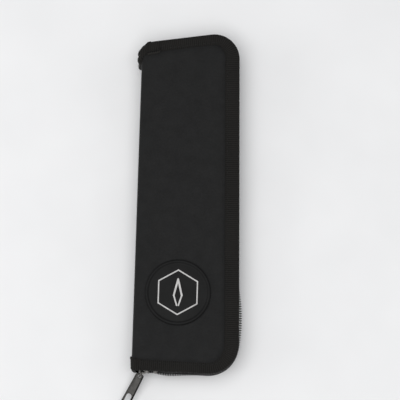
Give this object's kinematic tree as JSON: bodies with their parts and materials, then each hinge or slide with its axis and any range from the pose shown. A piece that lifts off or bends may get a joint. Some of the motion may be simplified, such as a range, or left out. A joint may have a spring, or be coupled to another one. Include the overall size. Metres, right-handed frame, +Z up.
{
  "type": "zip-round tool case with precision tweezers",
  "caption": "Slim zip-round fabric case with bound edges, raised badge and metal zip pull, opening flat on fine precision tweezers held by elastic straps.",
  "frame": {"origin": "middle of the back cover's flat outer face, on which the closed case lies", "axes": "+Z up through the closed case; +Y from the tail end with the zip pull to the head end; +X from the spine to the zip side"},
  "size_m": [0.0741, 0.2398, 0.0234],
  "materials": {
    "cover_cloth": "fine plain weave, matte black",
    "spine_cloth": "fine plain weave, matte charcoal",
    "lining_cloth": "smooth brushed lining, black",
    "foam": "thin foam sheet",
    "board": "plain sheet",
    "binding_tape": "ribbed grosgrain tape, black",
    "zip_tape": "woven zip tape, black",
    "zip_coil": "nylon coil, semi-matte black",
    "zip_metal": "gunmetal plating, satin",
    "badge": "moulded soft plastic, satin black",
    "badge_print": "silver print",
    "elastic": "woven elastic band, black",
    "thread": "polyester thread",
    "tweezers_steel": "satin stainless steel"
  },
  "bodies": {
    "back_half": {"back_cover_cloth": "cover_cloth", "back_padding": "foam", "back_board": "board", "back_lining": "lining_cloth", "back_binding": "binding_tape", "back_zip_tape": "zip_tape", "back_zip_coil": "zip_coil", "back_zip_stops": "zip_metal", "upper_elastic_strap": "elastic", "lower_elastic_strap": "elastic", "strap_bartacks": "thread"},
    "spine": {"spine_cloth": "spine_cloth", "spine_padding": "foam", "spine_lining": "lining_cloth", "spine_binding_tail": "binding_tape", "spine_binding_head": "binding_tape"},
    "front_half": {"front_cover_cloth": "cover_cloth", "front_padding": "foam", "front_board": "board", "front_lining": "lining_cloth", "front_binding": "binding_tape", "front_binding_lap": "binding_tape", "front_zip_tape": "zip_tape", "front_zip_coil": "zip_coil", "front_zip_stops": "zip_metal", "badge_base": "badge", "badge_emblem": "badge_print"},
    "slider": {"slider_body": "zip_metal", "slider_bridge": "zip_metal"},
    "link": {"pull_link": "zip_metal"},
    "tab": {"pull_tab": "zip_metal"},
    "tweezers": {"tweezers_tail": "tweezers_steel"},
    "left_arm": {"tweezers_left_arm": "tweezers_steel"},
    "right_arm": {"tweezers_right_arm": "tweezers_steel"}
  },
  "joints": [
    {"name": "back_fold", "type": "hinge", "parent": "back_half", "child": "spine", "pos_m": [-0.03005, 0, 0.0022], "axis": [0, -1, 0], "range_deg": [0, 90]},
    {"name": "front_fold", "type": "hinge", "parent": "spine", "child": "front_half", "pos_m": [-0.03005, 0, 0.0198], "axis": [0, -1, 0], "range_deg": [0, 90]},
    {"name": "zip_run", "type": "hinge", "parent": "back_half", "child": "slider", "pos_m": [-0.008, -0.07418, 0.011], "axis": [0, 0, 1], "range_deg": [0, 28]},
    {"name": "link_swing", "type": "hinge", "parent": "slider", "child": "link", "pos_m": [-0.02539, -0.10774, 0.011], "axis": [0, 0, 1], "range_deg": [0, 50]},
    {"name": "tab_lift", "type": "hinge", "parent": "link", "child": "tab", "pos_m": [-0.02748, -0.11178, 0.011], "axis": [-0.8879, 0.46, 0], "range_deg": [0, 45]},
    {"name": "tweezers_slide", "type": "slide", "parent": "back_half", "child": "tweezers", "axis": [0, 1, 0], "range_m": [-0.018, 0.034]},
    {"name": "left_arm_pinch", "type": "hinge", "parent": "tweezers", "child": "left_arm", "pos_m": [-0.01105, 0.047, 0.00815], "axis": [0, 0, 1], "range_deg": [0, 1.4], "stiffness_Nm_per_rad": 2},
    {"name": "right_arm_pinch", "type": "hinge", "parent": "tweezers", "child": "right_arm", "pos_m": [-0.00895, 0.047, 0.00815], "axis": [0, 0, -1], "range_deg": [0, 1.4], "stiffness_Nm_per_rad": 2}
  ],
  "couplings": [
    {"joint": "front_fold", "follows": "back_fold", "ratio": 1},
    {"joint": "right_arm_pinch", "follows": "left_arm_pinch", "ratio": 1}
  ]
}
